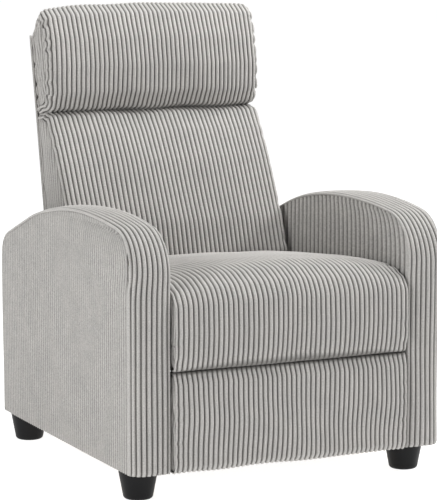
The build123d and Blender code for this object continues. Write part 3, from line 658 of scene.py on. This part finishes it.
def arm_strip(side, path, run, outward, inner_round, outer_round):
    """The strip over the front, top and rear of an arm, rounded along both its edges."""
    inner_arc, outer_arc = inner_round * np.pi / 2, outer_round * np.pi / 2
    girth = (ARM_OUTER - ARM_INNER - inner_round - outer_round + inner_arc + outer_arc)[:, None]
    wales = round(float(girth.mean()) / PITCH)
    across = np.linspace(0, 1, wales * (COLUMNS_PER_WALE + 2) + 1)
    measure = across[None, :] * girth
    left = girth - measure
    turn_in = np.clip(measure / inner_round[:, None], 0, np.pi / 2)
    turn_out = np.clip(left / outer_round[:, None], 0, np.pi / 2)
    flat_part = np.maximum(measure - inner_arc[:, None], 0) - np.maximum(outer_arc[:, None] - left, 0)
    x = ARM_INNER + inner_round[:, None] * (1 - np.cos(turn_in)) + flat_part
    x = x + outer_round[:, None] * np.cos(turn_out) * (left < outer_arc[:, None])
    drop = inner_round[:, None] * (1 - np.sin(turn_in)) + outer_round[:, None] * (1 - np.sin(turn_out))
    crown = STRIP_CROWN * (1 - (2 * across[None] - 1) ** 2) - STRIP_CROWN
    crown = crown + wander(len(run), len(across), ARM_WANDER, 6, 1, 61 + side)
    yz = path[:, None] + (crown - drop)[..., None] * outward[:, None]
    sway = wander(len(run), len(across), ARM_WANDER, 5, 1, 71 + side)
    x = x + sway * np.clip(np.minimum(across, 1 - across) * 8, 0, 1)
    grid = np.concatenate([side * x[..., None], yz], -1)
    strip = ribbed(grid, np.broadcast_to(across * wales, x.shape), run[:, None], side=side)
    ends = np.clip(np.minimum(run, run[-1] - run) / END_REACH, 0, 1)[:, None]
    strip["points"][..., 1:] -= (1 - ends)[..., None] * END_TUCK * outward[:, None]
    return strip


def rim_height(rim, y, level):
    """Height of the rim over each Y, from its points above a level."""
    upper = rim[rim[:, 1] > level]
    order = np.argsort(upper[:, 0], kind="stable")
    return np.interp(y, upper[order, 0], upper[order, 1])


def arm_panel(side, outer, rim):
    """One side panel of an arm inside the strip's rim; outer is 1 outside and -1 inside."""
    front_end = int(np.argmax(rim[:, 1] > FRONT_CURVE_TOP))
    reach = rim[rim[:, 1] > RIM_LOW][:, 0]
    first, last = reach.min(), reach.max()
    y = np.linspace(first, last, int((last - first) / PITCH) * 6 + 1)
    ceiling = np.maximum(rim_height(rim, y, RIM_LOW), rim_height(rim, y, RIM_HIGH))
    rise = np.linspace(0, 1, 100 if outer > 0 else 64)[:, None] ** ROW_CROWDING
    z = ARM_BOTTOM + rise * (ceiling - ARM_BOTTOM)[None]
    ys = np.broadcast_to(y, z.shape)
    gap = np.minimum.reduce([ys - first, last - ys, (ceiling[None] - z) * 0.8])
    swell = SIDE_CROWN * (1 - np.exp(-gap / SIDE_CROWN_REACH)) - SIDE_TUCK * np.exp(-gap / SIDE_TUCK_REACH)
    swell = swell + wander(*z.shape, 0.0003, 2, 2, 81 + side + outer)
    edge, share = (ARM_OUTER, 1.0) if outer > 0 else (ARM_INNER, 0.5)
    xs = edge - SIDE_INSET * outer + outer * swell * share
    grid = np.stack([side * xs, ys, z], -1)
    # wales run up the panel and bend rearwards under the arch, most of all at the front
    arch = np.interp(z, rim[:front_end, 1], rim[:front_end, 0]) - first
    from_front = np.maximum(ys - first - arch, 0)
    pull, pitch = (1.0, PITCH) if outer > 0 else (0.45, INNER_PITCH)
    wale = (ys - first - pull * arch * np.exp(-from_front / ARCH_REACH)) / pitch
    # near the panel's edges the wales flatten and painted shade darkens them, a thin shaded seam against
    # the strip
    edge_flat_and_shade = np.clip(gap / SIDE_FLAT_AND_SHADE, 0.15, 1)
    return ribbed(grid, wale, z, side=side * outer, strength=edge_flat_and_shade)


def arm_pieces(side):
    """Patches of one arm: the strip and its two side panels."""
    path, run = arm_path(ARM_ROWS)
    tangent = np.gradient(path, axis=0)
    tangent /= np.linalg.norm(tangent, axis=1, keepdims=True)
    outward = np.stack([-tangent[:, 1], tangent[:, 0]], 1)
    front = np.exp(-(np.maximum(run - FRONT_LENGTH, 0) / FRONT_FADE) ** 2)
    outer_round = EDGE_ROUND + FRONT_ROUND * front
    inner_round = np.full(ARM_ROWS, EDGE_ROUND)
    patches = [arm_strip(side, path, run, outward, inner_round, outer_round)]
    for outer, radius in ((1, outer_round), (-1, inner_round)):
        patches.append(arm_panel(side, outer, path - (radius - 0.001)[:, None] * outward))
    return patches


for word, side in (("right", -1), ("left", 1)):
    upholster(f"{word}_arm_upholstery", arm_pieces(side), "base", [f"{word}_arm_cover"])


# ======================================================================
# Floor, light and camera
# ======================================================================
FLOOR_HALF = 30


def stage_floor():
    """Pale seamless floor."""
    mesh = bpy.data.meshes.new("floor")
    half = FLOOR_HALF
    corners = [(-half, -half, 0), (half, -half, 0), (half, half, 0), (-half, half, 0)]
    mesh.from_pydata(corners, [], [(0, 1, 2, 3)])
    floor = bpy.data.objects.new("floor", mesh)
    bpy.context.scene.collection.objects.link(floor)
    material, shader, _, _ = new_material("floor")
    shader.inputs["Base Color"].default_value = (0.45, 0.45, 0.45, 1)
    shader.inputs["Roughness"].default_value = 1.0
    shader.inputs["Emission Color"].default_value = (1, 1, 1, 1)
    shader.inputs["Emission Strength"].default_value = 0.93
    mesh.materials.append(material)


def softbox(name, place, target, size, power):
    """Large square area light aimed at a point."""
    data = bpy.data.lights.new(name, "AREA")
    data.energy, data.size = power, size
    light = bpy.data.objects.new(name, data)
    light.location = place
    light.rotation_euler = (Vector(target) - Vector(place)).to_track_quat("-Z", "Y").to_euler()
    bpy.context.scene.collection.objects.link(light)


CAMERA_TURN = math.radians(-25.6)
CAMERA_RISE = math.radians(7.56)
CAMERA_DISTANCE = 5.02
CAMERA_TARGET = Vector((0, -0.0415, 0.5))
FOCAL_LENGTH, SENSOR_WIDTH = 172.8, 36.0
LENS_SHIFT = -0.057

stage_floor()
softbox("key", (3.2, -0.9, 2.9), (0, 0, 0.5), 0.9, 104)
softbox("fill", (-3.4, -1.5, 1.6), (0, 0, 0.5), 1.8, 60)
softbox("top", (0.6, -0.2, 3.6), (0, 0, 0.4), 1.6, 100)
world = bpy.data.worlds.new("studio")
world.use_nodes = True
world.node_tree.nodes["Background"].inputs["Color"].default_value = (1.0, 1.0, 1.0, 1)
world.node_tree.nodes["Background"].inputs["Strength"].default_value = 0.20
bpy.context.scene.world = world
bpy.context.scene.view_settings.view_transform = "Standard"

lens = bpy.data.cameras.new("camera")
lens.lens, lens.sensor_width = FOCAL_LENGTH, SENSOR_WIDTH
lens.shift_y = LENS_SHIFT
lens.clip_end = 100
camera = bpy.data.objects.new("camera", lens)
back_axis = Vector((
    math.sin(CAMERA_TURN) * math.cos(CAMERA_RISE), -math.cos(CAMERA_TURN) * math.cos(CAMERA_RISE),
    math.sin(CAMERA_RISE)))
camera.location = CAMERA_TARGET + CAMERA_DISTANCE * back_axis
camera.rotation_euler = (-back_axis).to_track_quat("-Z", "Y").to_euler()
bpy.context.scene.collection.objects.link(camera)
bpy.context.scene.camera = camera
